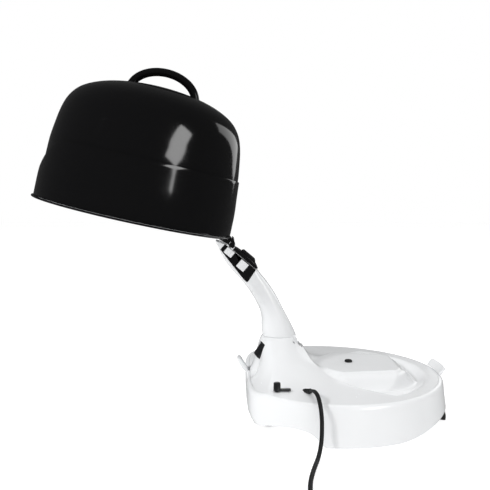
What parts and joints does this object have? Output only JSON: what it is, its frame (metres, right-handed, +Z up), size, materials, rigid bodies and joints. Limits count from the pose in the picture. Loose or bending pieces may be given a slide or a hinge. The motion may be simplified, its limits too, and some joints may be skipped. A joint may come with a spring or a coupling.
{
  "type": "hood hair dryer",
  "caption": "Table-top hood hair dryer: a round hood hinged to a curved folding arm on a wide weighted base with blower, switches, clips and a mains lead.",
  "frame": {"origin": "on the table, in the middle of the machine's own box as seen from above, lead left out; the hood is on the -X side and the base on the +X side", "axes": "+Z up, +X from the hood towards the far end of the base, +Y to the far side, away from the switches; the arm and hood hinges run along Y"},
  "size_m": [0.5838, 0.5744, 0.4851],
  "materials": {
    "hood_black": "polished black plastic",
    "black_satin": "fine satin black plastic",
    "body_white": "glossy white plastic",
    "inner_white": "satin off-white plastic",
    "black_rubber": "soft matt rubber",
    "steel": "plain steel",
    "iron": "raw casting",
    "pin_brass": "bright brass",
    "mica": "heat-proof mica board",
    "alloy": "plain alloy"
  },
  "bodies": {
    "base": {"top_housing": "body_white", "base_skirt": "body_white", "bottom_plate": "inner_white", "intake_grille": "black_satin", "foot_right": "black_rubber", "foot_left_near": "black_rubber", "foot_left_far": "black_rubber", "fold_bumper": "black_rubber", "blower_housing": "black_satin", "motor_bracket": "steel", "motor": "steel", "air_duct": "mica", "heater_frame": "mica", "heater_element": "alloy", "thermostat": "alloy", "terminal_block": "inner_white", "ballast_plate": "iron", "fold_pin": "steel", "strain_relief": "black_rubber", "mains_lead": "black_rubber", "lead_coil": "black_rubber", "plug_body": "black_rubber", "plug_blades": "pin_brass"},
    "arm": {"arm_shell_near": "body_white", "arm_shell_far": "body_white", "control_panel": "black_satin", "switch_block": "black_satin", "rear_plate": "hood_black", "hood_pin": "steel", "friction_washer_near": "steel", "friction_washer_far": "steel"},
    "hood": {"upper_dome": "hood_black", "lower_skirt": "hood_black", "rim_trim": "hood_black", "inner_liner": "inner_white", "carry_handle": "hood_black", "handle_screw_1": "steel", "handle_screw_2": "steel", "hood_bracket": "black_satin", "hinge_cover_near": "hood_black", "hinge_cover_far": "hood_black"},
    "power_switch": {"power_rocker": "body_white"},
    "heat_switch": {"heat_rocker": "body_white"},
    "tilt_release": {"tilt_button": "black_satin"},
    "catch": {"fold_catch": "black_satin"},
    "lock": {"lock_lever": "black_satin"},
    "left_latch": {"latch_left": "body_white"},
    "right_latch": {"latch_right": "body_white"},
    "fan": {"impeller": "black_satin", "motor_shaft": "steel"}
  },
  "joints": [
    {"name": "arm_fold", "type": "hinge", "parent": "base", "child": "arm", "pos_m": [0.0731, 0, 0.0975], "axis": [0, 1, 0], "range_deg": [0, 100]},
    {"name": "hood_tilt", "type": "hinge", "parent": "arm", "child": "hood", "pos_m": [-0.0149, 0, 0.2363], "axis": [0, 1, 0], "range_deg": [-15, 25]},
    {"name": "power_switch_rock", "type": "hinge", "parent": "arm", "child": "power_switch", "pos_m": [-0.01702, -0.0185, 0.22706], "axis": [0.6423, 0, 0.7665], "range_deg": [-7, 7]},
    {"name": "heat_switch_rock", "type": "hinge", "parent": "arm", "child": "heat_switch", "pos_m": [0.00137, -0.0185, 0.20852], "axis": [0.6423, 0, 0.7665], "range_deg": [-7, 7]},
    {"name": "tilt_button_press", "type": "slide", "parent": "arm", "child": "tilt_release", "axis": [-0.6423, 0, -0.7665], "range_m": [0, 0.0025], "stiffness_N_per_m": 800, "springref_m": -0.002},
    {"name": "fold_catch_press", "type": "slide", "parent": "base", "child": "catch", "axis": [0.767, 0.3785, -0.518], "range_m": [0, 0.003], "stiffness_N_per_m": 800, "springref_m": -0.002},
    {"name": "lock_lever_turn", "type": "hinge", "parent": "base", "child": "lock", "pos_m": [0.0446, -0.115, 0.056], "axis": [0, 0, -1], "range_deg": [0, 60]},
    {"name": "left_latch_flex", "type": "hinge", "parent": "base", "child": "left_latch", "pos_m": [0.0091, 0, 0.053], "axis": [0, -1, 0], "range_deg": [0, 12], "stiffness_Nm_per_rad": 0.05, "springref_deg": -5.16},
    {"name": "right_latch_flex", "type": "hinge", "parent": "base", "child": "right_latch", "pos_m": [0.2841, 0, 0.0535], "axis": [0, 1, 0], "range_deg": [0, 12], "stiffness_Nm_per_rad": 0.05, "springref_deg": -5.16},
    {"name": "fan_spin", "type": "hinge", "parent": "base", "child": "fan", "pos_m": [0.1821, 0, 0.03], "axis": [0, 0, 1], "continuous": true}
  ]
}
